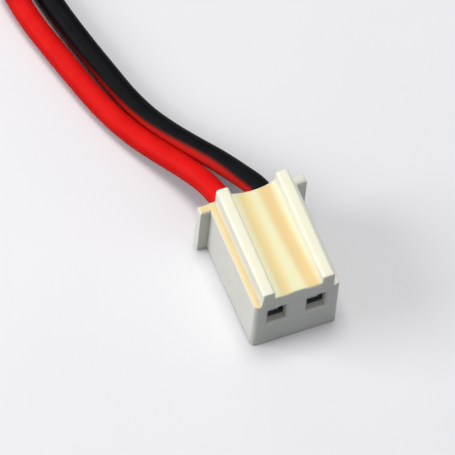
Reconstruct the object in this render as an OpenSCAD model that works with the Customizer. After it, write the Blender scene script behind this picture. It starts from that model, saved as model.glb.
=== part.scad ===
// Two-way crimp-style battery connector with a red and a black lead.
// The housing lies on its flat back, ribs up, mating face towards -Y and leads towards +Y.
// The origin is the middle of the housing's bottom. All sizes are millimetres.

/* [Housing] */
// Distance between the two contacts
pitch = 2.5; // [2.4:0.05:3.5]
// Wall outside each contact cavity
side_wall = 0.5; // [0.35:0.05:0.9]
// Length of the housing from mating face to wire end
housing_l = 7.7; // [7.5:0.1:9]
// Height of the narrow shoulders along both long edges
shoulder_h = 4.5; // [4.3:0.05:4.7]
// Width of each shoulder
shoulder_w = 0.45; // [0.3:0.05:0.6]
// Height of the deck between the ribs
deck_h = 5.1; // [4.8:0.05:5.3]
// Height of the two long ribs
rib_h = 5.8; // [5.6:0.05:6.4]
// Width of each rib
rib_w = 0.8; // [0.6:0.05:1]
// Width of the low ridge's top along the middle of the deck, at the mating face
ridge_w = 0.6; // [0.4:0.1:1]
// Width of each sloped flank of the ridge
ridge_flank = 0.35; // [0.25:0.05:0.5]
// Height of the ridge above the deck at the mating face
ridge_rise = 0.12; // [0.08:0.01:0.2]
// Radius of the housing's long outer edges
edge_r = 0.2; // [0.1:0.05:0.35]
// Radius of the upright edges at the mating face
front_r = 0.35; // [0.2:0.05:0.45]
// Depth of the hollow in the deck's rear edge
deck_hollow = 0.35; // [0.15:0.05:0.5]

/* [Ears] */
// How far each ear stands out from the side
ear_out = 0.65; // [0.4:0.05:1.1]
// Thickness of an ear along the housing
ear_t = 0.55; // [0.45:0.05:1]
// Height of an ear
ear_h = 4.5; // [3:0.05:4.6]
// Radius of an ear's edges
ear_r = 0.18; // [0.1:0.02:0.2]

/* [Cavities] */
// Thickness of the wall behind the mating face
front_wall = 0.5; // [0.4:0.05:0.6]
// Height of the pin row above the bottom
pin_row_h = 3.3; // [3:0.05:3.4]
// Width of a pin hole
pin_hole = 1.2; // [0.8:0.05:1.3]
// Width of the bevel around a pin hole
pin_bevel = 0.12; // [0.05:0.01:0.2]
// Width of the bevel around a cavity's rear mouth
mouth_bevel = 0.15; // [0.05:0.05:0.2]
// Width of a lance window
window_w = 1.2; // [1.1:0.05:1.6]
// Room around a contact in its cavity
fit_gap = 0.08; // [0.05:0.01:0.12]

/* [Contacts] */
// Thickness of the contact's sheet metal
strip_t = 0.2; // [0.15:0.01:0.25]
// Side of the square pin that the contact takes
pin_side = 0.64; // [0.5:0.02:0.7]
// Height of the pin's axis above the contact's underside
pin_rise = 1.3; // [1.2:0.05:1.4]
// Width of the receptacle
box_w = 1.8; // [1.6:0.05:1.85]
// Length of the receptacle
box_l = 3.3; // [3:0.05:3.4]
// Width of the spring leaf
leaf_w = 0.9; // [0.6:0.05:1]
// How far the spring leaf stands into the pin's path
leaf_press = 0.06; // [0.02:0.01:0.1]
// Width of the locking lance
lance_w = 0.9; // [0.7:0.05:1]
// How far the lance's tip stands below the contact
lance_drop = 0.45; // [0.3:0.05:0.6]
// Length of the neck behind the receptacle
neck_l = 0.45; // [0.35:0.05:0.6]
// Length of the conductor crimp
wire_crimp_l = 1.3; // [1.1:0.05:1.4]
// Length of the sloped strip between the crimps
step_l = 0.6; // [0.5:0.05:0.7]
// Length of the insulation crimp
grip_l = 1.1; // [0.9:0.05:1.2]

/* [Leads] */
// Outer diameter of a lead
lead_d = 1.4; // [1.2:0.05:1.45]
// Diameter of one bare strand
strand_d = 0.19; // [0.15:0.01:0.19]
// Diameter of a tinned end
tip_d = 0.7; // [0.5:0.05:0.9]
// Length of a tinned end
tip_l = 3; // [2:0.5:4]

/* [Coil] */
// Radius of the coil's outermost turn
coil_r = 9.7; // [9:0.1:10]
// Thickness of the tie's strap
tie_t = 0.3; // [0.2:0.05:0.5]
// Width of the tie's strap
tie_w = 2; // [1.5:0.1:2.5]

/* [Hidden] */
$fn = 48;

// Cuts run this far past the faces that they open
past = 1;
// Pieces of one solid overlap by this much where they join
join = 0.05;
// Slit where two edges of bent sheet metal meet
seam = 0.03;
// Gap between the lead and the crimp around it
grip_gap = 0.02;

// Crimp barrel: two rounded lobes beside each other, seen from the end
strand_step = strand_d + 0.01;
row_rise = 0.18;
lobe_in_r = 0.23;
lobe_x = 0.19;
lobe_z = strip_t + 0.3;
lobe_out_r = lobe_in_r + strip_t;
crimp_w = 2 * (lobe_x + lobe_out_r);
crimp_edge_r = 0.25;
low_row_z = strip_t + strand_step / 2;
wire_rise = low_row_z + row_rise / 2;
grip_r = lead_d / 2 + grip_gap + strip_t;
grip_drop = grip_r - wire_rise;

// Receptacle
box_h = pin_rise + pin_side / 2 + grip_gap + strip_t;
bend_r = 0.1;
leaf_t = 0.15;
leaf_half = 1.25;
leaf_y = 1.5;
leaf_crest = pin_rise - pin_side / 2 - leaf_press;
leaf_rise = leaf_crest - strip_t;
leaf_r = (leaf_half * leaf_half + leaf_rise * leaf_rise) / (2 * leaf_rise);
lance_y = 0.8;
lance_l = 1.5;
shear_gap = 0.1;

// Places along a contact, from its front end
wire_crimp_y = box_l + neck_l;
step_y = wire_crimp_y + wire_crimp_l;
grip_y = step_y + step_l;
step_slope = step_l - 0.25;
lead_start = grip_y - 0.15;
strands_start = wire_crimp_y - 0.15;

// Housing sizes that follow from the contacts
cavity_w = max(box_w, 2 * grip_r) + 2 * fit_gap;
housing_w = pitch + cavity_w + 2 * side_wall;
front_y = -housing_l / 2;
rear_y = housing_l / 2;
contact_y = front_y + front_wall + join;
contact_z = pin_row_h - pin_rise;
wire_z = contact_z + wire_rise;
cavity_floor = contact_z;
cavity_top = contact_z + box_h + fit_gap;
pin_hole_low = contact_z + strip_t;
pin_hole_h = box_h - strip_t;
rear_floor = wire_z - grip_r - fit_gap;
ramp = cavity_floor - rear_floor;
ramp_y = contact_y + step_y - ramp - fit_gap;
window_y = contact_y + lance_y - 0.1;
window_l = lance_l + 0.25;
rib_x = housing_w / 2 - shoulder_w - rib_w / 2;
deck_w = housing_w - 2 * shoulder_w;
gap_w = deck_w - 2 * rib_w;
ridge_end_y = rear_y - 2 * deck_hollow;
ear_root = side_wall / 2;

// Hollow in the deck's rear edge, an arc that is shallow at the ribs
hollow_end = 0.1;
hollow_rise = deck_hollow - hollow_end;
hollow_r = (gap_w * gap_w / 4 + hollow_rise * hollow_rise) / (2 * hollow_rise);

// Coil: two flat spirals, black under red, raised by the strap that passes below them
coil_turns = 2;
coil_entry = [-6, 29.5];
coil_entry_l = 5.5;
coil_c = [coil_entry[0] + coil_r, coil_entry[1] + coil_entry_l];
coil_in_r = coil_r - coil_turns * lead_d - lead_d / 2;
coil_out_r = coil_r + lead_d / 2;
coil_edge_r = 0.6;
black_coil_z = tie_t;
red_coil_z = tie_t + lead_d;

// Each lead's inner end turns out of the coil along an arc
tail_r = 3.2;
tail_x = coil_in_r + lead_d / 2 - tail_r;
tail_slack = 0.01;

// Strap of the tie around the coil's section, and its head
tie_gap = 0.05;
tie_in_y = sqrt(coil_in_r * coil_in_r - tie_w * tie_w / 4) - tie_gap;
tie_out_y = coil_out_r + tie_gap;
tie_top = red_coil_z + lead_d + tie_gap;
tie_head = [3, 3.2, 1.8];
tie_tail_l = 2.4;

// Routes of the leads, from the crimps to the coil
red_route = concat(
    [[-pitch / 2, contact_y + lead_start, wire_z], [-pitch / 2, rear_y, wire_z]],
    [
        [-1.35, 5, 2.32], [-1.69, 6.5, 2], [-2.38, 8.1, 1.6], [-3.23, 9.7, 1.2],
        [-4.08, 11.3, 0.9], [-4.85, 13, 0.75], [-5.48, 14.8, 0.7], [-6.05, 16.8, 0.7],
        [-6.6, 18.9, 0.7], [-7.1, 21, 0.7], [-7.4, 23, 0.8], [-7.4, 24.8, 1.1],
        [-7.1, 26.4, 1.75], [-6.5, 27.9, 2.3]
    ],
    [[coil_entry[0], coil_entry[1], red_coil_z + lead_d / 2]]
);
black_route = concat(
    [[pitch / 2, contact_y + lead_start, wire_z], [pitch / 2, rear_y, wire_z]],
    [
        [1, 5, 2.37], [0.4, 6.2, 2.2], [-0.4, 7.7, 1.9], [-1.35, 9.3, 1.5],
        [-2.23, 10.9, 1.1], [-3.02, 12.5, 0.85], [-3.66, 14.3, 0.7], [-4.18, 16.2, 0.7],
        [-4.75, 18.4, 0.7], [-5.25, 20.6, 0.7], [-5.65, 22.8, 0.7], [-5.9, 24.8, 0.7],
        [-6, 26.4, 0.8], [-6, 27.9, 0.95]
    ],
    [[coil_entry[0], coil_entry[1], black_coil_z + lead_d / 2]]
);
lead_sides = 8;

// Solid between two places along Y, from an outline drawn in X and Z
module along_y(from, to) {
    translate([0, to, 0]) rotate([90, 0, 0]) linear_extrude(to - from) children();
}

// Solid between two places along X, from an outline drawn in Y and Z
module along_x(from, to) {
    translate([from, 0, 0]) rotate([90, 0, 90]) linear_extrude(to - from) children();
}

// Rectangle with round corners that stands on the first axis
module round_rect(w, h, r) {
    translate([r - w / 2, 0]) square([w - 2 * r, h]);
    translate([-w / 2, r]) square([w, h - 2 * r]);
    for (x = [r - w / 2, w / 2 - r], y = [r, h - r]) translate([x, y]) circle(r);
}

// Four-sided funnel along Y: its size at the outer end, and how much each side narrows over its depth
module funnel(w, h, narrow, depth, inwards) {
    side = function (s) [
        [-join * inwards, -s / 2], [-join * inwards, s / 2], [0, s / 2],
        [depth * inwards, s / 2 - narrow], [depth * inwards, narrow - s / 2], [0, -s / 2]
    ];
    intersection() {
        along_x(-w, w) polygon(side(h));
        translate([0, 0, -h]) linear_extrude(2 * h) polygon([for (p = side(w)) [p[1], p[0]]]);
    }
}

// The housing's section, seen from the mating face
module housing_section() {
    round_rect(housing_w, shoulder_h, edge_r);
    translate([-deck_w / 2, edge_r]) square([deck_w, deck_h - edge_r]);
    for (side = [-1, 1]) translate([side * rib_x, edge_r]) round_rect(rib_w, rib_h - edge_r, edge_r);
}

// The housing's plan, with round upright edges at the mating face
module housing_plan() {
    translate([0, front_y]) round_rect(housing_w, housing_l + 2 * front_r, front_r);
}

// Low ridge with sloped flanks along the middle of the deck, which runs out before the wire end
module ridge() {
    top = ridge_w / 2;
    foot = top + ridge_flank;
    intersection() {
        along_x(-foot, foot) polygon([
            [front_y, deck_h - edge_r], [ridge_end_y, deck_h - edge_r], [ridge_end_y, deck_h],
            [front_y, deck_h + ridge_rise]
        ]);
        along_y(front_y, rear_y) polygon([
            [-foot, 0], [foot, 0], [foot, deck_h], [top, deck_h + ridge_rise], [-top, deck_h + ridge_rise],
            [-foot, deck_h]
        ]);
    }
}

// One ear at the wire end
module ear(side) {
    root = housing_w / 2 - ear_root;
    width = ear_root + ear_out;
    intersection() {
        along_y(rear_y - ear_t, rear_y)
            translate([side * (root + width / 2), 0]) round_rect(width, ear_h, ear_r);
        along_x(-housing_w, housing_w)
            translate([rear_y - ear_t / 2, 0]) round_rect(ear_t, ear_h, ear_r);
    }
}

// One contact cavity, deeper behind its ramp
module cavity() {
    along_x(-cavity_w / 2, cavity_w / 2)
        polygon([
            [front_y + front_wall, cavity_floor], [ramp_y, cavity_floor], [ramp_y + ramp, rear_floor],
            [rear_y + past, rear_floor], [rear_y + past, cavity_top], [front_y + front_wall, cavity_top]
        ]);
    mouth_h = cavity_top - rear_floor;
    translate([0, rear_y, rear_floor + mouth_h / 2])
        funnel(cavity_w + 2 * mouth_bevel, mouth_h + 2 * mouth_bevel, mouth_bevel, mouth_bevel, -1);
}

// One pin hole, which shows the mouth of the contact, with its bevel
module pin_opening() {
    translate([-pin_hole / 2, front_y - past, pin_hole_low])
        cube([pin_hole, past + front_wall + join, pin_hole_h]);
    translate([0, front_y, pin_hole_low + pin_hole_h / 2])
        funnel(pin_hole + 2 * pin_bevel, pin_hole_h + 2 * pin_bevel, pin_bevel, pin_bevel, 1);
}

// One window under a cavity, which the lance snaps into
module lance_window() {
    translate([-window_w / 2, window_y, -past]) cube([window_w, window_l, past + cavity_floor + join]);
}

// Shallow arc in the deck's rear edge, between the ribs
module rear_hollow() {
    intersection() {
        translate([0, rear_y - deck_hollow + hollow_r, cavity_top + mouth_bevel])
            cylinder(r = hollow_r, h = rib_h, $fn = 96);
        translate([-gap_w / 2, rear_y - past, 0]) cube([gap_w, 2 * past, rib_h + past]);
    }
}

module housing() {
    color("ivory") difference() {
        union() {
            intersection() {
                along_y(front_y, rear_y) housing_section();
                linear_extrude(rib_h + past) housing_plan();
            }
            ridge();
            for (side = [-1, 1]) ear(side);
        }
        for (side = [-1, 1]) translate([side * pitch / 2, 0, 0]) {
            cavity();
            pin_opening();
            lance_window();
        }
        rear_hollow();
    }
}

// Folded box that takes the pin
module receptacle() {
    difference() {
        along_y(0, box_l) difference() {
            round_rect(box_w, box_h, strip_t + bend_r);
            translate([0, strip_t]) round_rect(box_w - 2 * strip_t, box_h - 2 * strip_t, bend_r);
        }
        translate([-seam / 2, -past, box_h / 2]) cube([seam, box_l + 2 * past, box_h]);
        translate([-lance_w / 2 - shear_gap, lance_y, -past])
            cube([lance_w + 2 * shear_gap, lance_l + shear_gap, past + strip_t + join]);
    }
}

// Bowed spring leaf that presses the pin against the box's top
module spring_leaf() {
    along_x(-leaf_w / 2, leaf_w / 2) intersection() {
        translate([leaf_y, leaf_crest - leaf_r]) difference() {
            circle(leaf_r, $fn = 96);
            circle(leaf_r - leaf_t, $fn = 96);
        }
        union() {
            translate([0, strip_t - join]) square([leaf_y, box_h]);
            translate([leaf_y - join, strip_t + shear_gap]) square([box_l, box_h]);
        }
    }
}

// Tongue cut from the box's floor, bent down to lock in the window
module lance() {
    along_x(-lance_w / 2, lance_w / 2) polygon([
        [lance_y - join, 0], [lance_y, 0], [lance_y + lance_l, -lance_drop],
        [lance_y + lance_l, strip_t - lance_drop], [lance_y, strip_t], [lance_y - join, strip_t]
    ]);
}

// Tapered channel from the box to the conductor crimp
module neck() {
    wide = box_w / 2;
    narrow = crimp_w / 2;
    from = box_l - join;
    to = wire_crimp_y + join;
    plan = function (inset) [
        [inset - wide, from], [wide - inset, from], [narrow - inset, to], [inset - narrow, to]
    ];
    linear_extrude(strip_t) polygon(plan(bend_r));
    translate([0, 0, bend_r]) linear_extrude(lobe_z - bend_r) difference() {
        polygon(plan(0));
        polygon([for (p = plan(strip_t)) [p[0], p[1] < wire_crimp_y ? p[1] - past : p[1] + past]]);
    }
}

// Conductor crimp, its two wings rolled in onto the strands
module wire_crimp() {
    along_y(wire_crimp_y, step_y) difference() {
        union() {
            round_rect(crimp_w, lobe_z + crimp_edge_r, crimp_edge_r);
            for (side = [-1, 1]) translate([side * lobe_x, lobe_z]) circle(lobe_out_r);
        }
        translate([0, strip_t])
            round_rect(crimp_w - 2 * strip_t, lobe_z - strip_t + bend_r, bend_r);
        for (side = [-1, 1]) translate([side * lobe_x, lobe_z]) circle(lobe_in_r);
        translate([-seam / 2, lobe_z]) square([seam, lobe_out_r]);
    }
}

// Strip that steps down from the conductor crimp to the insulation crimp
module crimp_step() {
    low = -grip_drop;
    along_x(-lobe_x - lobe_in_r, lobe_x + lobe_in_r) polygon([
        [step_y - join, 0], [step_y, 0], [step_y + step_slope, low], [grip_y + join, low],
        [grip_y + join, low + strip_t], [step_y + step_slope, low + strip_t], [step_y, strip_t],
        [step_y - join, strip_t]
    ]);
}

// Insulation crimp, open where its two wings meet
module grip() {
    along_y(grip_y, grip_y + grip_l) translate([0, wire_rise]) difference() {
        circle(grip_r);
        circle(grip_r - strip_t);
        polygon([[0, 0], [-grip_r / 3, 2 * grip_r], [grip_r / 3, 2 * grip_r]]);
    }
}

module contact(side) {
    color("silver") translate([side * pitch / 2, contact_y, contact_z]) {
        receptacle();
        spring_leaf();
        lance();
        neck();
        wire_crimp();
        crimp_step();
        grip();
    }
}

module red_contact() { contact(-1); }

module black_contact() { contact(1); }

// Seven bare strands in the crimp, in a row of four and a row of three
module strands(side) {
    length = lead_start - strands_start;
    for (row = [0, 1], i = [0:3 - row])
        color("peru")
            translate([
                side * pitch / 2 + (i - (3 - row) / 2) * strand_step,
                contact_y + strands_start,
                contact_z + low_row_z + row * row_rise
            ])
                rotate([-90, 0, 0]) cylinder(d = strand_d, h = length);
}

module red_strands() { strands(-1); }

module black_strands() { strands(1); }

// Direction of a route at one of its points: its two ends run straight along Y
function unit(v) = v / norm(v);
function heading(route, i) =
    i == 0 || i == len(route) - 1 ? [0, 1, 0] : unit(route[i + 1] - route[i - 1]);

// Ring of points around a route at one of its points
function ring(route, i) =
    let (
        ahead = heading(route, i),
        across = unit(cross(ahead, [0, 0, 1])),
        over = cross(across, ahead)
    )
    [
        for (k = [0:lead_sides - 1])
            let (turn = (k + 0.5) * 360 / lead_sides)
            route[i] + lead_d / 2 * (cos(turn) * across + sin(turn) * over)
    ];

// Lead swept along its route
module lead(route) {
    last = len(route) - 1;
    points = [for (i = [0:last]) each ring(route, i)];
    walls = [
        for (i = [0:last - 1], k = [0:lead_sides - 1])
            let (a = i * lead_sides + k, b = i * lead_sides + (k + 1) % lead_sides)
            [a, b, b + lead_sides, a + lead_sides]
    ];
    start = [for (k = [lead_sides - 1:-1:0]) k];
    end = [for (k = [0:lead_sides - 1]) last * lead_sides + k];
    polyhedron(points, concat([start], walls, [end]), convexity = 6);
}

module red_lead() { color("red") lead(red_route); }

module black_lead() { color("#202020") lead(black_route); }

// Outer shape of one lead's flat spiral, with the straight entry that meets the lead and the tail
module coil(z) {
    translate([coil_c[0], coil_c[1], z]) {
        rotate_extrude($fn = 96)
            translate([(coil_in_r + coil_out_r) / 2, 0])
                round_rect(coil_out_r - coil_in_r, lead_d, coil_edge_r);
        along_y(-coil_entry_l, 0) translate([-coil_r, 0]) round_rect(lead_d, lead_d, coil_edge_r);
        translate([-tail_x, 0, lead_d / 2]) rotate([0, 0, 90])
            rotate_extrude(angle = 90, $fn = 96)
                translate([tail_r, 0]) circle(lead_d / 2 - tail_slack);
    }
}

module red_coil() { color("red") coil(red_coil_z); }

module black_coil() { color("#202020") coil(black_coil_z); }

// Strap around the coil's section with a square head on top
module coil_tie() {
    middle = (tie_in_y + tie_out_y) / 2;
    span = tie_out_y - tie_in_y;
    color("white") translate([coil_c[0], coil_c[1], 0]) {
        along_x(-tie_w / 2, tie_w / 2) difference() {
            translate([middle, 0]) round_rect(span + 2 * tie_t, tie_top + tie_t, 2 * tie_t);
            translate([middle, tie_t]) round_rect(span, tie_top - tie_t, tie_t);
        }
        difference() {
            along_y(middle - tie_head[1] / 2, middle + tie_head[1] / 2)
                translate([0, tie_top + tie_t / 2]) round_rect(tie_head[0], tie_head[2], tie_t);
            translate([-tie_w / 2 - tie_gap, middle - tie_t, tie_top + tie_t])
                cube([tie_w + 2 * tie_gap, 2 * tie_t, tie_head[2] + past]);
        }
        translate([-tie_w / 2, middle - tie_t / 2, tie_top + tie_t / 2])
            cube([tie_w, tie_t, tie_head[2] + tie_tail_l]);
    }
}

// Stripped and tinned end of a lead, past its tail
module tip(z) {
    color("silver") translate([coil_c[0] - tail_x, coil_c[1] + tail_r, z + lead_d / 2])
        rotate([0, 90, 0]) cylinder(d = tip_d, h = tip_l);
}

module red_tip() { tip(red_coil_z); }

module black_tip() { tip(black_coil_z); }

housing();
red_contact();
black_contact();
red_strands();
black_strands();
red_lead();
black_lead();
red_coil();
black_coil();
coil_tie();
red_tip();
black_tip();
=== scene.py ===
"""Looks of a two-way battery connector with a red and a black lead."""
import math

import bmesh
import bpy
import numpy as np
from mathutils import Matrix, Vector


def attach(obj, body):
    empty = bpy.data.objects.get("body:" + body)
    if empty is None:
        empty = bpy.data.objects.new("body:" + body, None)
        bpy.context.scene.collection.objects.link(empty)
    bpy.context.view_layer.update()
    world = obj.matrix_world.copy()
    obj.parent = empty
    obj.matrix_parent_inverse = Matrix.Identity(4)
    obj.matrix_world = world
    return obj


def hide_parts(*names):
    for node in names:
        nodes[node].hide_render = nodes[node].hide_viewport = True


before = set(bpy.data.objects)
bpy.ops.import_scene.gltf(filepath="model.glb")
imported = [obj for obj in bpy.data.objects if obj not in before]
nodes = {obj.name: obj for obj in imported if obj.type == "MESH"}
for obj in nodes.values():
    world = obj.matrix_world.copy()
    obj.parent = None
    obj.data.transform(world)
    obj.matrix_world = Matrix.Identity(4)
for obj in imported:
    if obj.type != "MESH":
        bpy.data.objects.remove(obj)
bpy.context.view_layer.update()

MM = 0.001
scene = bpy.context.scene
scene.view_settings.view_transform = "Standard"

# Camera: long lens, looking down on the mating end from its left
IMAGE_SIDE = 455
PIXELS_PER_MM = 16.83
CAMERA_AZIMUTH = -27.2
CAMERA_ELEVATION = 60.0
CAMERA_ROLL = 6.6
CAMERA_DISTANCE = 800 * MM
CLIP_START = 10 * MM
CLIP_END = 10000 * MM
SENSOR_WIDTH = 36
FRONT_EDGE = Vector((0, -3.85 * MM, 0))
FRONT_EDGE_PIXEL = (293.7, 333.4)


def make_camera():
    """Camera that shows the middle of the housing's lower front edge at its pixel."""
    azimuth = math.radians(CAMERA_AZIMUTH)
    elevation = math.radians(CAMERA_ELEVATION)
    roll = math.radians(CAMERA_ROLL)
    flat = math.cos(elevation)
    back = Vector((math.sin(azimuth) * flat, -math.cos(azimuth) * flat, math.sin(elevation)))
    level = Vector((math.cos(azimuth), math.sin(azimuth), 0))
    upright = back.cross(level)
    right = math.cos(roll) * level + math.sin(roll) * upright
    up = back.cross(right)
    metres_per_pixel = MM / PIXELS_PER_MM
    across = (IMAGE_SIDE / 2 - FRONT_EDGE_PIXEL[0]) * metres_per_pixel
    above = (FRONT_EDGE_PIXEL[1] - IMAGE_SIDE / 2) * metres_per_pixel
    target = FRONT_EDGE + right * across + up * above
    data = bpy.data.cameras.new("camera")
    data.sensor_width = SENSOR_WIDTH
    data.lens = PIXELS_PER_MM / MM * CAMERA_DISTANCE / IMAGE_SIDE * SENSOR_WIDTH
    data.clip_start = CLIP_START
    data.clip_end = CLIP_END
    camera = bpy.data.objects.new("camera", data)
    turn = Matrix((right, up, back)).transposed().to_4x4()
    camera.matrix_world = Matrix.Translation(target + back * CAMERA_DISTANCE) @ turn
    scene.collection.objects.link(camera)
    scene.camera = camera


make_camera()

# Routes of the leads, in millimetres, from the crimps to the coil
LEAD_D = 1.4
LEAD_SPACING = 0.3
LEAD_SIDES = 32
RED_ROUTE = [
    (-1.25, 2.2, 2.39), (-1.25, 3.85, 2.39), (-1.35, 5, 2.32), (-1.69, 6.5, 2),
    (-2.38, 8.1, 1.6), (-3.23, 9.7, 1.2), (-4.08, 11.3, 0.9), (-4.85, 13, 0.75),
    (-5.48, 14.8, 0.7), (-6.05, 16.8, 0.7), (-6.6, 18.9, 0.7), (-7.1, 21, 0.7),
    (-7.4, 23, 0.8), (-7.4, 24.8, 1.1), (-7.1, 26.4, 1.75), (-6.5, 27.9, 2.3),
    (-6, 29.5, 2.4),
]
BLACK_ROUTE = [
    (1.25, 2.2, 2.39), (1.25, 3.85, 2.39), (1, 5, 2.37), (0.4, 6.2, 2.2),
    (-0.4, 7.7, 1.9), (-1.35, 9.3, 1.5), (-2.23, 10.9, 1.1), (-3.02, 12.5, 0.85),
    (-3.66, 14.3, 0.7), (-4.18, 16.2, 0.7), (-4.75, 18.4, 0.7), (-5.25, 20.6, 0.7),
    (-5.65, 22.8, 0.7), (-5.9, 24.8, 0.7), (-6, 26.4, 0.8), (-6, 27.9, 0.95),
    (-6, 29.5, 1),
]
COIL_CENTRE = (3.7, 35)
COIL_R = 9.7
COIL_TURNS = 2
COIL_STEPS_PER_TURN = 36
TAIL_R = 3.2
TAIL_STEPS = 8
FINE_STEPS = 24


def coil_points(height):
    """The flat spiral of one lead, wound clockwise inwards, and the arc of its tail."""
    steps = COIL_TURNS * COIL_STEPS_PER_TURN
    points = []
    for i in range(steps + 1):
        turned = i / COIL_STEPS_PER_TURN
        angle = math.pi - 2 * math.pi * turned
        radius = COIL_R - LEAD_D * turned
        points.append((
            COIL_CENTRE[0] + radius * math.cos(angle),
            COIL_CENTRE[1] + radius * math.sin(angle),
            height,
        ))
    tail_x = COIL_CENTRE[0] - COIL_R + LEAD_D * COIL_TURNS + TAIL_R
    for i in range(1, TAIL_STEPS + 1):
        angle = math.pi - math.pi / 2 * i / TAIL_STEPS
        points.append((
            tail_x + TAIL_R * math.cos(angle),
            COIL_CENTRE[1] + TAIL_R * math.sin(angle),
            height,
        ))
    return points


def smooth_path(points, spacing):
    """Points in metres along a smooth line through the given points, about evenly spaced."""
    given = np.array(points, float)
    padded = np.vstack([2 * given[0] - given[1], given, 2 * given[-1] - given[-2]])
    fine = []
    shares = np.linspace(0, 1, FINE_STEPS, endpoint=False)[:, None]
    for a, b, c, d in zip(padded, padded[1:], padded[2:], padded[3:]):
        fine.append(0.5 * (
            2 * b + (c - a) * shares
            + (2 * a - 5 * b + 4 * c - d) * shares ** 2
            + (3 * b - a - 3 * c + d) * shares ** 3
        ))
    line = np.vstack([*fine, given[-1:]])
    walked = lengths_walked(line)
    places = np.linspace(0, walked[-1], int(round(walked[-1] / spacing)) + 1)
    even = np.stack([np.interp(places, walked, line[:, axis]) for axis in range(3)], axis=1)
    return even * MM


def lengths_walked(path):
    """Length along a path up to each of its points."""
    return np.concatenate([[0], np.cumsum(np.linalg.norm(np.diff(path, axis=0), axis=1))])


def tube_mesh(name, path, radius, sides):
    """Round tube along a path. Its UV map runs 0 to 1 around from the right, and along in diameters."""
    ahead = np.gradient(path, axis=0)
    ahead /= np.linalg.norm(ahead, axis=1)[:, None]
    across = np.cross(ahead, (0, 0, 1))
    across /= np.linalg.norm(across, axis=1)[:, None]
    over = np.cross(across, ahead)
    walked = lengths_walked(path)
    mesh = bmesh.new()
    uv = mesh.loops.layers.uv.new("UVMap")
    rings = []
    for i in range(len(path)):
        ring = []
        for k in range(sides):
            turn = 2 * math.pi * k / sides
            place = path[i] + radius * (math.cos(turn) * across[i] + math.sin(turn) * over[i])
            ring.append(mesh.verts.new(place))
        rings.append(ring)
    for i in range(len(rings) - 1):
        for k in range(sides):
            after = (k + 1) % sides
            face = mesh.faces.new((rings[i][k], rings[i][after], rings[i + 1][after], rings[i + 1][k]))
            face.smooth = True
            corners = ((i, k), (i, k + 1), (i + 1, k + 1), (i + 1, k))
            for loop, (ring, step) in zip(face.loops, corners):
                loop[uv].uv = (step / sides, walked[ring] / (2 * radius))
    mesh.faces.new(rings[0][::-1])
    mesh.faces.new(rings[-1])
    bmesh.ops.recalc_face_normals(mesh, faces=mesh.faces)
    data = bpy.data.meshes.new(name)
    mesh.to_mesh(data)
    mesh.free()
    return data


def add_piece(name, data):
    """Object of a new mesh that rides on the part's one body."""
    piece = bpy.data.objects.new(name, data)
    scene.collection.objects.link(piece)
    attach(piece, "root")
    return piece


# Tinned ends: one strand in the middle and six twisted around it
TIP_D = 0.7
TIP_L = 3
TIP_STRAND_D = TIP_D / 3
TIP_OUTER_STRANDS = 6
TIP_TWIST = 0.8
TIP_STEPS = 24
TIP_SIDES = 10


def tip_mesh(name, start):
    """The strands of a tinned end, along +X from a start in millimetres."""
    whole = bmesh.new()
    for strand in range(TIP_OUTER_STRANDS + 1):
        in_middle = strand == TIP_OUTER_STRANDS
        reach = 0 if in_middle else TIP_STRAND_D
        path = []
        for i in range(TIP_STEPS + 1):
            share = i / TIP_STEPS
            angle = 2 * math.pi * (strand / TIP_OUTER_STRANDS + TIP_TWIST * share)
            path.append((
                start[0] + TIP_L * share,
                start[1] + reach * math.cos(angle),
                start[2] + reach * math.sin(angle),
            ))
        part = tube_mesh(name + "_part", np.array(path) * MM, TIP_STRAND_D / 2 * MM, TIP_SIDES)
        whole.from_mesh(part)
        bpy.data.meshes.remove(part)
    data = bpy.data.meshes.new(name)
    whole.to_mesh(data)
    whole.free()
    return data


def make_lead(colour, route):
    """One lead from its crimp to its tinned end."""
    height = route[-1][2]
    path = smooth_path(route + coil_points(height), LEAD_SPACING)
    wire_name = colour + "_wire"
    lead = add_piece(wire_name, tube_mesh(wire_name, path, LEAD_D / 2 * MM, LEAD_SIDES))
    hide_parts(colour + "_lead", colour + "_coil")
    end = path[-1] / MM
    tip = add_piece(colour + "_tinned_end", tip_mesh(colour + "_tinned_end", end))
    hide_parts(colour + "_tip")
    return lead, tip


# Mouldings: the solids with their sharp edges rounded
SAME_POINT = 0.004 * MM
DOUBLED_CORNER = 0.0005 * MM
FLAT = math.radians(0.5)
SHARP = math.radians(50)
CREASE = math.radians(32)
ROUND_SEGMENTS = 3
ROUND_PROFILE = 0.5
TIE_EDGE_R = 0.06
HOUSING_EDGE_R = 0.08
TOP_EDGES_Z = 4.46
FRONT_CORNER_X = 2.32


def moulding(name, node, radius, chosen):
    """Piece in place of a CAD node, with its chosen sharp edges rounded."""
    mesh = bmesh.new()
    mesh.from_mesh(nodes[node].data)
    bmesh.ops.remove_doubles(mesh, verts=mesh.verts, dist=SAME_POINT)
    bmesh.ops.dissolve_limit(mesh, angle_limit=FLAT, verts=mesh.verts, edges=mesh.edges)
    edges = [edge for edge in mesh.edges if edge.calc_face_angle(0) > SHARP and chosen(edge)]
    bmesh.ops.bevel(
        mesh, geom=edges, offset=radius * MM, segments=ROUND_SEGMENTS, profile=ROUND_PROFILE, affect="EDGES",
    )
    bmesh.ops.remove_doubles(mesh, verts=mesh.verts, dist=DOUBLED_CORNER)
    for face in mesh.faces:
        face.smooth = True
    for edge in mesh.edges:
        edge.smooth = edge.calc_face_angle(0) < CREASE
    data = bpy.data.meshes.new(name)
    mesh.to_mesh(data)
    mesh.free()
    piece = add_piece(name, data)
    normals = piece.modifiers.new("normals", "WEIGHTED_NORMAL")
    normals.keep_sharp = True
    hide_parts(node)
    return piece


def every_edge(edge):
    return True


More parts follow.
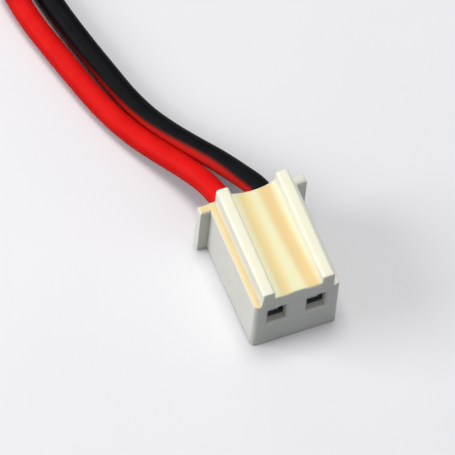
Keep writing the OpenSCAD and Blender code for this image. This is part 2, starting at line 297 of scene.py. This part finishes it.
def on_top(edge):
    """True for the edges of the housing's ribs and deck, and of its shoulders at the wire end."""
    one, other = (vertex.co / MM for vertex in edge.verts)
    front_corner = abs(one.x + other.x) / 2 > FRONT_CORNER_X and one.y < 0
    return min(one.z, other.z) > TOP_EDGES_Z and not front_corner


tie = moulding("tie_strap", "coil_tie", TIE_EDGE_R, every_edge)
shell = moulding("housing_moulding", "housing", HOUSING_EDGE_R, on_top)
red_wire, red_end = make_lead("red", RED_ROUTE)
black_wire, black_end = make_lead("black", BLACK_ROUTE)

# Materials: small tools for their node trees
DARK_STOP = 0.3
LIGHT_STOP = 0.7


def new_material(name):
    material = bpy.data.materials.new(name)
    material.use_nodes = True
    tree = material.node_tree
    shader = next(n for n in tree.nodes if n.type == "BSDF_PRINCIPLED")
    return material, tree, shader


def set_material(piece, material):
    if not piece.data.materials:
        piece.data.materials.append(material)
    for i in range(len(piece.data.materials)):
        piece.data.materials[i] = material


def add_node(tree, kind, **values):
    """New node with some of its inputs or settings given by name."""
    node = tree.nodes.new(kind)
    for name, value in values.items():
        if name in node.inputs:
            node.inputs[name].default_value = value
        else:
            setattr(node, name, value)
    return node


def two_tones(tree, factor, dark, light):
    """Two colours blended along a noise factor."""
    ramp = tree.nodes.new("ShaderNodeValToRGB")
    stops = ((DARK_STOP, dark), (LIGHT_STOP, light))
    for element, (place, colour) in zip(ramp.color_ramp.elements, stops):
        element.position = place
        element.color = (*colour, 1)
    tree.links.new(factor, ramp.inputs["Fac"])
    return ramp.outputs["Color"]


def noise(tree, scale, detail):
    """Noise over the object's own space, where one unit is a metre."""
    place = tree.nodes.new("ShaderNodeTexCoord")
    texture = add_node(tree, "ShaderNodeTexNoise", Scale=scale, Detail=detail)
    tree.links.new(place.outputs["Object"], texture.inputs["Vector"])
    return texture.outputs["Fac"]


def spread(tree, factor, low, high):
    """A factor of 0 to 1 brought to another range."""
    node = tree.nodes.new("ShaderNodeMapRange")
    node.inputs["To Min"].default_value = low
    node.inputs["To Max"].default_value = high
    tree.links.new(factor, node.inputs["Value"])
    return node.outputs["Result"]


def add_bump(tree, shader, height, distance):
    bump = add_node(tree, "ShaderNodeBump", Strength=1, Distance=distance)
    tree.links.new(height, bump.inputs["Height"])
    tree.links.new(bump.outputs["Normal"], shader.inputs["Normal"])


def blend(tree, share, below, above):
    """One colour laid over another by a share."""
    node = tree.nodes.new("ShaderNodeMix")
    node.data_type = "RGBA"
    tree.links.new(share, node.inputs["Factor"])
    for socket, colour in (("A", below), ("B", above)):
        if isinstance(colour, tuple):
            node.inputs[socket].default_value = (*colour, 1)
        else:
            tree.links.new(colour, node.inputs[socket])
    return node.outputs["Result"]


def calculate(tree, operation, *values):
    """One arithmetic step on sockets and numbers."""
    node = add_node(tree, "ShaderNodeMath", operation=operation)
    for i, value in enumerate(values):
        if isinstance(value, (int, float)):
            node.inputs[i].default_value = value
        else:
            tree.links.new(value, node.inputs[i])
    return node.outputs["Value"]


def both(tree, one, other):
    """The share where two shares overlap."""
    return calculate(tree, "MULTIPLY", one, other)


def without(tree, share):
    """What a share leaves of the whole."""
    return calculate(tree, "SUBTRACT", 1, share)


def step_between(tree, value, low, high):
    """0 below the low value, 1 above the high one, and a soft step between them."""
    node = add_node(tree, "ShaderNodeMapRange", interpolation_type="SMOOTHSTEP")
    node.inputs["From Min"].default_value = low
    node.inputs["From Max"].default_value = high
    tree.links.new(value, node.inputs["Value"])
    return node.outputs["Result"]


def band(tree, value, centre, half_width, soft):
    """1 within a band of values around a centre, 0 outside it, with soft borders. All in metres."""
    distance = calculate(tree, "ABSOLUTE", calculate(tree, "SUBTRACT", value, centre))
    return without(tree, step_between(tree, distance, half_width - soft, half_width + soft))


# Housing: ranges over which a face counts as turned a way, or a zone begins
TURNED = (0.5, 0.85)
RIB_TOP_Z = (5.6 * MM, 5.75 * MM)
RIB_WALL_X = (2.1 * MM, 2.2 * MM)
RIB_WALL_Z = (4.5 * MM, 4.6 * MM)
EAR_SIDE_X = (3.2 * MM, 3.3 * MM)
# Housing: bands as centre, half width and soft border
DECK_Z = (5.2 * MM, 0.3 * MM, 0.1 * MM)
BETWEEN_RIBS_X = (0, 1.5 * MM, 0.12 * MM)
SHADED_LEFT_STRIPE_X = (-0.74 * MM, 0.33 * MM, 0.28 * MM)
LIGHTENED_BESIDE_LEFT_RIB_X = (-1.36 * MM, 0.28 * MM, 0.18 * MM)
BESIDE_RIGHT_RIB_X = (1.4 * MM, 0.3 * MM, 0.16 * MM)
EAR_FRONT_Y = (3.3 * MM, 0.15 * MM, 0.05 * MM)
SHADED_LEFT_EAR_X = (-3.1 * MM, 0.5 * MM, 0.05 * MM)
SHOULDER_Z = (4.5 * MM, 0.2 * MM, 0.08 * MM)
SHADED_LEFT_LEDGE_X = (-2.85 * MM, 0.56 * MM, 0.04 * MM)
# Housing: the right stripe of painted warm shade bends outwards from its rear end
RIGHT_STRIPE_REAR_Y = 3 * MM
RIGHT_STRIPE_REAR_X = 0.65 * MM
RIGHT_STRIPE_BEND = 0.008 / MM
RIGHT_STRIPE_HALF_WIDTH = 0.44 * MM
RIGHT_STRIPE_SOFT = 0.28 * MM
# Housing: tones of the nylon and of its zones, several of them painted light and painted shade
NYLON_DARK = (0.87, 0.85, 0.74)
NYLON_LIGHT = (0.93, 0.91, 0.81)
RIB_TOP_TONE = (0.9, 0.885, 0.7)
# Painted light: the outer walls of the ribs get a lighter tone than the nylon
RIB_WALL_PAINTED_LIGHT = (0.99, 0.975, 0.8)
# Painted light: the ears' sides and fronts get a lighter tone than the nylon
EAR_PAINTED_LIGHT = (0.98, 0.97, 0.85)
# Painted shade: the left ear's front, in the corner beside the housing, is painted dark
LEFT_EAR_FRONT_PAINTED_SHADE = (0.66, 0.65, 0.57)
BETWEEN_RIBS_TONE = (0.91, 0.87, 0.56)
# Painted warm shade: a peach stripe on the deck to the left of the middle
LEFT_STRIPE_PAINTED_SHADE = (0.99, 0.795, 0.39)
# Painted light: the deck beside the left rib is painted lighter to offset the rib's shadow on it
BESIDE_LEFT_RIB_PAINTED_LIGHT = (0.99, 0.93, 0.65)
BESIDE_RIGHT_RIB_TONE = (0.81, 0.82, 0.6)
# Painted warm shade: a peach stripe on the deck beside the right rib
RIGHT_STRIPE_PAINTED_SHADE = (0.84, 0.645, 0.31)
# Painted warm shade: the left shoulder beside the left rib, on this side only
LEFT_LEDGE_PAINTED_SHADE = (0.8, 0.645, 0.355)


def housing_zones(tree):
    """Pairs of share and tone, in the order in which they are laid over the plain nylon."""
    place = tree.nodes.new("ShaderNodeTexCoord")
    spot = tree.nodes.new("ShaderNodeSeparateXYZ")
    tree.links.new(place.outputs["Object"], spot.inputs["Vector"])
    facing = tree.nodes.new("ShaderNodeSeparateXYZ")
    tree.links.new(place.outputs["Normal"], facing.inputs["Vector"])
    x, y, z = spot.outputs
    upward = step_between(tree, facing.outputs["Z"], *TURNED)
    outward = step_between(tree, calculate(tree, "ABSOLUTE", facing.outputs["X"]), *TURNED)
    forward = step_between(tree, calculate(tree, "MULTIPLY", facing.outputs["Y"], -1), *TURNED)
    from_middle = calculate(tree, "ABSOLUTE", x)

    rib_tops = both(tree, upward, step_between(tree, z, *RIB_TOP_Z))
    beyond_ribs = both(tree, outward, step_between(tree, from_middle, *RIB_WALL_X))
    # Painted light: the outer walls of the ribs are painted lighter
    lit_rib_walls = both(tree, beyond_ribs, step_between(tree, z, *RIB_WALL_Z))
    # Painted light: the ears' sides and fronts are painted lighter
    lit_ear_sides = both(tree, outward, step_between(tree, from_middle, *EAR_SIDE_X))
    ear_fronts = both(tree, forward, band(tree, y, *EAR_FRONT_Y))
    # Painted shade on the front of the left ear only
    shaded_left_ear_front = both(tree, ear_fronts, band(tree, x, *SHADED_LEFT_EAR_X))

    deck = both(tree, upward, band(tree, z, *DECK_Z))
    between_ribs = both(tree, deck, band(tree, x, *BETWEEN_RIBS_X))
    # Painted warm shade: stripe on the deck to the left of the middle
    shaded_left_stripe = both(tree, deck, band(tree, x, *SHADED_LEFT_STRIPE_X))
    # Painted light on the deck where the left rib casts its shadow
    lightened_beside_left_rib = both(tree, deck, band(tree, x, *LIGHTENED_BESIDE_LEFT_RIB_X))
    beside_right_rib = both(tree, deck, band(tree, x, *BESIDE_RIGHT_RIB_X))
    from_rear = calculate(tree, "SUBTRACT", RIGHT_STRIPE_REAR_Y, y)
    squared = calculate(tree, "MULTIPLY", from_rear, from_rear)
    middle = calculate(tree, "MULTIPLY_ADD", squared, RIGHT_STRIPE_BEND, RIGHT_STRIPE_REAR_X)
    across_stripe = band(tree, x, middle, RIGHT_STRIPE_HALF_WIDTH, RIGHT_STRIPE_SOFT)
    shaded_right_stripe = both(tree, deck, across_stripe)

    shoulder = both(tree, upward, band(tree, z, *SHOULDER_Z))
    # Painted warm shade on the left shoulder
    shaded_left_ledge = both(tree, shoulder, band(tree, x, *SHADED_LEFT_LEDGE_X))
    return (
        (rib_tops, RIB_TOP_TONE),
        (lit_rib_walls, RIB_WALL_PAINTED_LIGHT),
        (lit_ear_sides, EAR_PAINTED_LIGHT),
        (ear_fronts, EAR_PAINTED_LIGHT),
        (shaded_left_ear_front, LEFT_EAR_FRONT_PAINTED_SHADE),
        (between_ribs, BETWEEN_RIBS_TONE),
        (shaded_left_stripe, LEFT_STRIPE_PAINTED_SHADE),
        (lightened_beside_left_rib, BESIDE_LEFT_RIB_PAINTED_LIGHT),
        (beside_right_rib, BESIDE_RIGHT_RIB_TONE),
        (shaded_right_stripe, RIGHT_STRIPE_PAINTED_SHADE),
        (shaded_left_ledge, LEFT_LEDGE_PAINTED_SHADE),
    )


def housing_material():
    """Natural nylon: warm white with a fine moulded grain and a yellow deck, with painted warm shade in
    peach on the deck and the left shoulder, painted shade on the left ear's front, and painted light on the
    rib walls, the ears and the deck beside the left rib.
    """
    material, tree, shader = new_material("housing_nylon")
    tone = two_tones(tree, noise(tree, scale=420, detail=4), NYLON_DARK, NYLON_LIGHT)
    for share, zone_tone in housing_zones(tree):
        tone = blend(tree, share, tone, zone_tone)
    tree.links.new(tone, shader.inputs["Base Color"])
    shader.inputs["Subsurface Weight"].default_value = 0.35
    shader.inputs["Subsurface Radius"].default_value = (1, 0.85, 0.6)
    shader.inputs["Subsurface Scale"].default_value = 0.5 * MM
    shader.inputs["Specular IOR Level"].default_value = 0.4
    grain = noise(tree, scale=9000, detail=3)
    tree.links.new(spread(tree, grain, low=0.42, high=0.58), shader.inputs["Roughness"])
    add_bump(tree, shader, grain, distance=0.006 * MM)
    return material


# Leads: drawing lines per turn and per diameter of length
DRAWING_LINES = (24, 0.35, 1)
# Leads: the stripe's borders in turns around the sleeve, and its changes along it in diameters
STRIPE_START = (0.3, 0.385)
STRIPE_END = (0.62, 0.67)
# Painted light: the stripe is brightened low on its flank, where the crease between the leads is in shade
STRIPE_PAINTED_LIGHT_FLANK = (0.36, 0.48)
STRIPE_PAINTED_LIGHT_GAIN = 1.3
STRIPE_AT_MOUTH = (1.5, 5.5)
STRIPE_MOUTH_SHIFT = 0.06
STRIPE_NARROWS = (3, 14)
STRIPE_NARROWING = 0.12
STRIPE_RUNS_OUT = (8, 15.5)
RED_DARK = (0.69, 0.005, 0.004)
RED_LIGHT = (0.77, 0.009, 0.007)
BLACK_DARK = (0.003, 0.0034, 0.004)
BLACK_LIGHT = (0.005, 0.006, 0.007)
STRIPE_TONE = (0.5, 0.016, 0.012)


def add_stripe(tree, uv, ground, stripe):
    """A stripe on one flank of the sleeve, with painted light that makes it strongest low down on the flank,
    where the crease between the leads is in shade. It narrows away from the housing.
    """
    spot = tree.nodes.new("ShaderNodeSeparateXYZ")
    tree.links.new(uv, spot.inputs["Vector"])
    around, along = spot.outputs["X"], spot.outputs["Y"]
    near_mouth = without(tree, step_between(tree, along, *STRIPE_AT_MOUTH))
    narrowed = calculate(tree, "MULTIPLY", step_between(tree, along, *STRIPE_NARROWS), STRIPE_NARROWING)
    shift = calculate(tree, "MULTIPLY_ADD", near_mouth, STRIPE_MOUTH_SHIFT, narrowed)
    started = step_between(tree, calculate(tree, "SUBTRACT", around, shift), *STRIPE_START)
    ended = step_between(tree, around, *STRIPE_END)
    on_flank = calculate(tree, "SUBTRACT", started, ended)
    share = both(tree, on_flank, without(tree, step_between(tree, along, *STRIPE_RUNS_OUT)))
    stripe_with_painted_light = tuple(STRIPE_PAINTED_LIGHT_GAIN * value for value in stripe)
    tone = blend(tree, step_between(tree, around, *STRIPE_PAINTED_LIGHT_FLANK), stripe, stripe_with_painted_light)
    return blend(tree, share, ground, tone)


def lead_material(name, dark, light, gloss, stripe=None):
    """Soft vinyl sleeve with faint drawing lines."""
    material, tree, shader = new_material(name)
    uv = tree.nodes.new("ShaderNodeTexCoord").outputs["UV"]
    stretched = add_node(tree, "ShaderNodeMapping", Scale=DRAWING_LINES)
    tree.links.new(uv, stretched.inputs["Vector"])
    lines = add_node(tree, "ShaderNodeTexNoise", Scale=1, Detail=2)
    tree.links.new(stretched.outputs["Vector"], lines.inputs["Vector"])
    colour = two_tones(tree, noise(tree, scale=700, detail=3), dark, light)
    if stripe:
        colour = add_stripe(tree, uv, colour, stripe)
    tree.links.new(colour, shader.inputs["Base Color"])
    tree.links.new(spread(tree, lines.outputs["Fac"], low=0.45, high=0.62), shader.inputs["Roughness"])
    shader.inputs["Specular IOR Level"].default_value = gloss
    add_bump(tree, shader, lines.outputs["Fac"], distance=0.012 * MM)
    return material


# Metals: the finish varies in roughness around a mean, and its bump is finer than its clouds
SMOOTHER = 0.08
ROUGHER = 0.1
BUMPS_PER_CLOUD = 6


def metal_material(name, dark, light, grain_scale, rough):
    """Plated or bare metal with a fine uneven finish."""
    material, tree, shader = new_material(name)
    cloud = noise(tree, grain_scale, detail=4)
    tree.links.new(two_tones(tree, cloud, dark, light), shader.inputs["Base Color"])
    roughness = spread(tree, cloud, rough - SMOOTHER, rough + ROUGHER)
    tree.links.new(roughness, shader.inputs["Roughness"])
    shader.inputs["Metallic"].default_value = 1
    bumps = noise(tree, grain_scale * BUMPS_PER_CLOUD, detail=2)
    add_bump(tree, shader, bumps, distance=0.004 * MM)
    return material


# Tie: tones of its nylon
TIE_DARK = (0.8, 0.79, 0.74)
TIE_LIGHT = (0.88, 0.87, 0.83)


def tie_material():
    """Natural nylon strap, slightly milky."""
    material, tree, shader = new_material("tie_nylon")
    colour = two_tones(tree, noise(tree, scale=600, detail=3), TIE_DARK, TIE_LIGHT)
    tree.links.new(colour, shader.inputs["Base Color"])
    grain = noise(tree, scale=7000, detail=2)
    tree.links.new(spread(tree, grain, low=0.32, high=0.48), shader.inputs["Roughness"])
    add_bump(tree, shader, grain, distance=0.005 * MM)
    return material


tin = metal_material(
    "tin_plate", dark=(0.58, 0.59, 0.6), light=(0.74, 0.74, 0.74), grain_scale=2500, rough=0.28,
)
copper = metal_material(
    "bare_copper", dark=(0.72, 0.36, 0.22), light=(0.85, 0.48, 0.32), grain_scale=4000, rough=0.3,
)
solder = metal_material(
    "solder", dark=(0.55, 0.56, 0.58), light=(0.75, 0.76, 0.78), grain_scale=1800, rough=0.26,
)
set_material(shell, housing_material())
set_material(tie, tie_material())
for side in ("red", "black"):
    set_material(nodes[side + "_contact"], tin)
    set_material(nodes[side + "_strands"], copper)
set_material(red_end, solder)
set_material(black_end, solder)
set_material(red_wire, lead_material("red_vinyl", RED_DARK, RED_LIGHT, gloss=0.09))
set_material(
    black_wire,
    lead_material("black_vinyl", BLACK_DARK, BLACK_LIGHT, gloss=0.08, stripe=STRIPE_TONE),
)

# Floor: its seen tones, the tone of the light that it throws back, and where its lit part fades out
FLOOR_HALF = 1500 * MM
FLOOR_Z = -0.02 * MM
FLOOR_DARK = (0.83, 0.84, 0.85)
FLOOR_LIGHT = (0.86, 0.86, 0.87)
FLOOR_FAR = (0.79, 0.79, 0.8)
FLOOR_BOUNCE = (0.18, 0.21, 0.25)
FLOOR_FADE = (45 * MM, 170 * MM)
BLACK = (0, 0, 0)


def make_floor():
    """Plain pale floor. It throws less light back onto the object than it shows."""
    data = bpy.data.meshes.new("floor")
    corners = [(-1, -1), (1, -1), (1, 1), (-1, 1)]
    data.from_pydata([(FLOOR_HALF * x, FLOOR_HALF * y, FLOOR_Z) for x, y in corners], [], [(0, 1, 2, 3)])
    floor = bpy.data.objects.new("floor", data)
    scene.collection.objects.link(floor)
    material, tree, shader = new_material("floor_paper")
    ray = tree.nodes.new("ShaderNodeLightPath")
    mirrored = calculate(tree, "MAXIMUM", ray.outputs["Is Glossy Ray"], ray.outputs["Is Transmission Ray"])
    seen = calculate(tree, "MAXIMUM", ray.outputs["Is Camera Ray"], mirrored)
    # Away from the object the floor shows one even tone, whatever light falls on it
    place = tree.nodes.new("ShaderNodeNewGeometry").outputs["Position"]
    distance = add_node(tree, "ShaderNodeVectorMath", operation="LENGTH")
    tree.links.new(place, distance.inputs[0])
    far = step_between(tree, distance.outputs["Value"], *FLOOR_FADE)
    near_colour = two_tones(tree, noise(tree, scale=60, detail=2), FLOOR_DARK, FLOOR_LIGHT)
    seen_colour = blend(tree, far, near_colour, BLACK)
    tree.links.new(blend(tree, seen, FLOOR_BOUNCE, seen_colour), shader.inputs["Base Color"])
    shader.inputs["Roughness"].default_value = 0.9
    shader.inputs["Emission Color"].default_value = (*FLOOR_FAR, 1)
    tree.links.new(both(tree, far, seen), shader.inputs["Emission Strength"])
    set_material(floor, material)


# Lights: both are aimed at the floor just behind the housing
AIM = (0, 6, 0)
WORLD_COLOUR = (0.91, 0.93, 1)
WORLD_STRENGTH = 0.3


def make_light(name, place, size, power, colour):
    """Square soft light at a place in millimetres."""
    data = bpy.data.lights.new(name, "AREA")
    data.size = size * MM
    data.energy = power
    data.color = colour
    light = bpy.data.objects.new(name, data)
    light.location = Vector(place) * MM
    light.rotation_euler = (Vector(AIM) - Vector(place)).to_track_quat("-Z", "Y").to_euler()
    scene.collection.objects.link(light)


def make_world():
    world = bpy.data.worlds.new("world")
    world.use_nodes = True
    background = world.node_tree.nodes["Background"]
    background.inputs["Color"].default_value = (*WORLD_COLOUR, 1)
    background.inputs["Strength"].default_value = WORLD_STRENGTH
    scene.world = world


make_floor()
make_world()
make_light("key", place=(5, 35, 300), size=130, power=0.47, colour=(1, 0.98, 0.95))
make_light("left", place=(-220, 70, 130), size=150, power=0.39, colour=(0.98, 0.97, 1))
